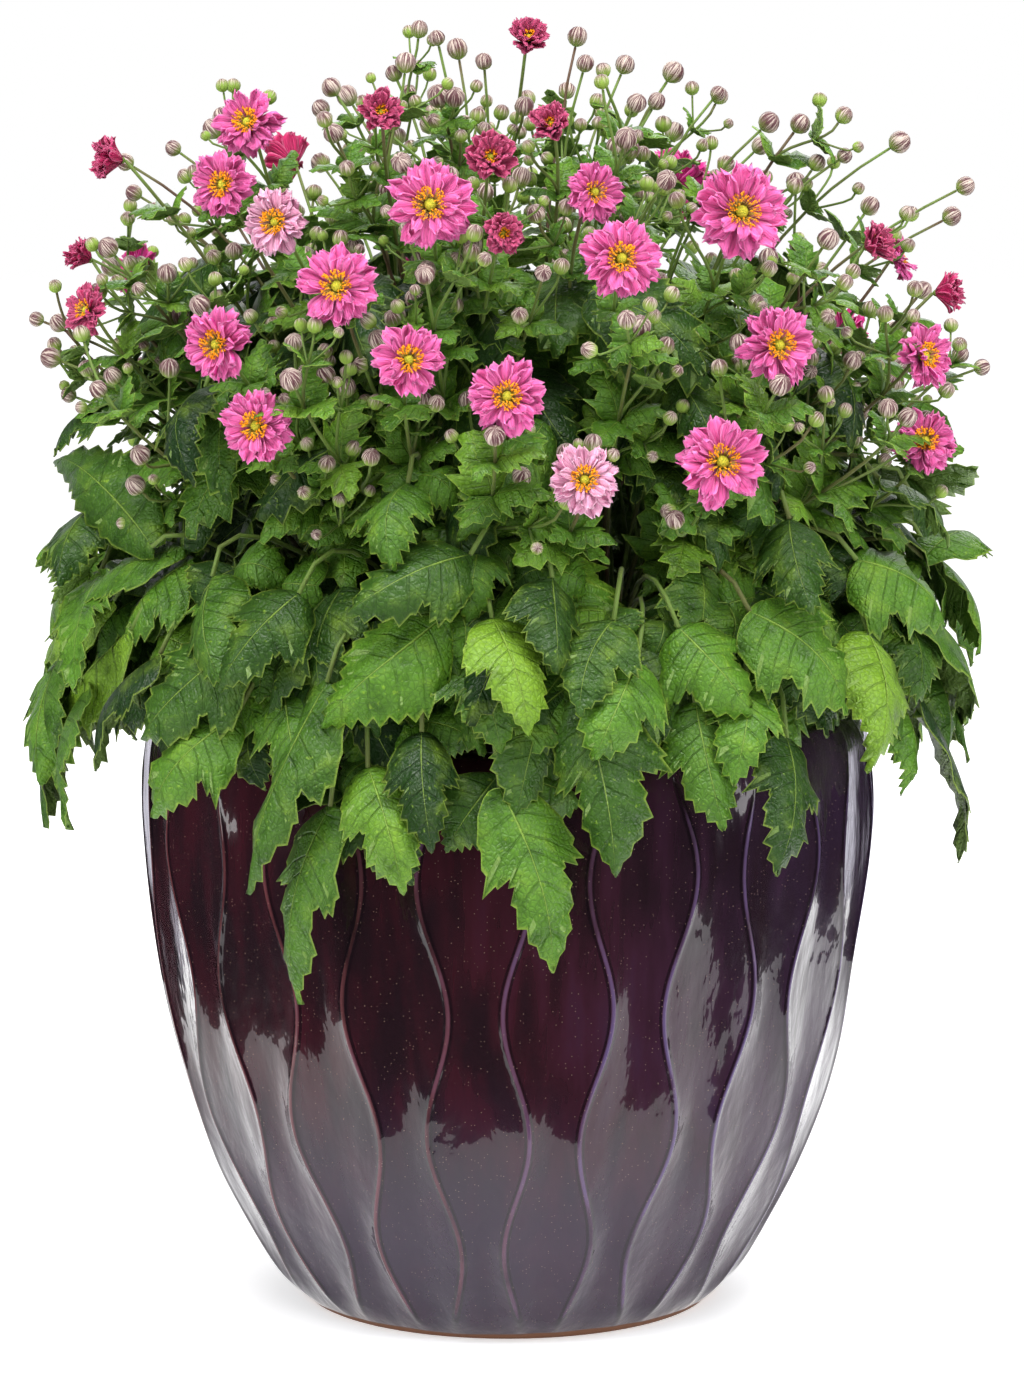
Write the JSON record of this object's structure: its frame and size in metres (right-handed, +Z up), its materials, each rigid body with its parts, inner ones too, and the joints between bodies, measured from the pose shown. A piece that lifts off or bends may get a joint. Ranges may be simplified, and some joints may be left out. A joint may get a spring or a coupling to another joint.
{
  "type": "potted japanese anemone",
  "caption": "Japanese anemone plants with pink semi-double blooms, bud sprays and lobed basal leaves in a round dark glazed planter with waved ribs.",
  "frame": {"origin": "centre of the planter's flat foot, on the ground", "axes": "+Z up through the planter's middle, -Y towards the front"},
  "size_m": [0.6045, 0.5823, 0.805],
  "materials": {
    "pot_glaze": "glossy dark aubergine glaze, redder on the ribs' crests",
    "soil": "dark crumbly potting soil",
    "leaf_green": "satin green leaves and stems",
    "petal_pink": "soft pink petals, paler at the edges",
    "petal_deep": "soft deep magenta petals",
    "petal_pale": "soft pale pink petals",
    "bloom_centre": "powdery yellow stamens and boss"
  },
  "bodies": {
    "root": {"pot": "pot_glaze", "soil": "soil", "plant_1": "leaf_green", "plant_2": "leaf_green", "plant_3": "leaf_green", "plant_4": "leaf_green", "plant_5": "leaf_green", "plant_6": "leaf_green", "bloom_01_petals": "petal_pink", "bloom_01_centre": "bloom_centre", "bloom_02_petals": "petal_pink", "bloom_02_centre": "bloom_centre", "bloom_03_petals": "petal_pale", "bloom_03_centre": "bloom_centre", "bloom_04_petals": "petal_deep", "bloom_05_petals": "petal_deep", "bloom_06_petals": "petal_pink", "bloom_06_centre": "bloom_centre", "bloom_07_petals": "petal_deep", "bloom_08_petals": "petal_deep", "bloom_09_petals": "petal_deep", "bloom_10_petals": "petal_deep", "bloom_11_petals": "petal_pink", "bloom_12_petals": "petal_pink", "bloom_12_centre": "bloom_centre", "bloom_13_petals": "petal_pink", "bloom_13_centre": "bloom_centre", "bloom_14_petals": "petal_deep", "bloom_15_petals": "petal_deep", "bloom_16_petals": "petal_pink", "bloom_16_centre": "bloom_centre", "bloom_17_petals": "petal_pink", "bloom_17_centre": "bloom_centre", "bloom_18_petals": "petal_pink", "bloom_18_centre": "bloom_centre", "bloom_19_petals": "petal_pink", "bloom_19_centre": "bloom_centre", "bloom_20_petals": "petal_pink", "bloom_20_centre": "bloom_centre", "bloom_21_petals": "petal_pink", "bloom_21_centre": "bloom_centre", "bloom_22_petals": "petal_pale", "bloom_22_centre": "bloom_centre", "bloom_23_petals": "petal_pink", "bloom_23_centre": "bloom_centre", "bloom_24_petals": "petal_deep", "bloom_25_petals": "petal_deep", "bloom_26_petals": "petal_pink", "bloom_26_centre": "bloom_centre", "bloom_27_petals": "petal_pink", "bloom_27_centre": "bloom_centre", "bloom_28_petals": "petal_pink", "bloom_29_petals": "petal_pink", "bloom_29_centre": "bloom_centre", "bloom_30_petals": "petal_pink", "bloom_30_centre": "bloom_centre", "bloom_31_petals": "petal_pink", "bloom_31_centre": "bloom_centre", "bloom_32_petals": "petal_deep", "bloom_33_petals": "petal_pink"}
  },
  "joints": []
}
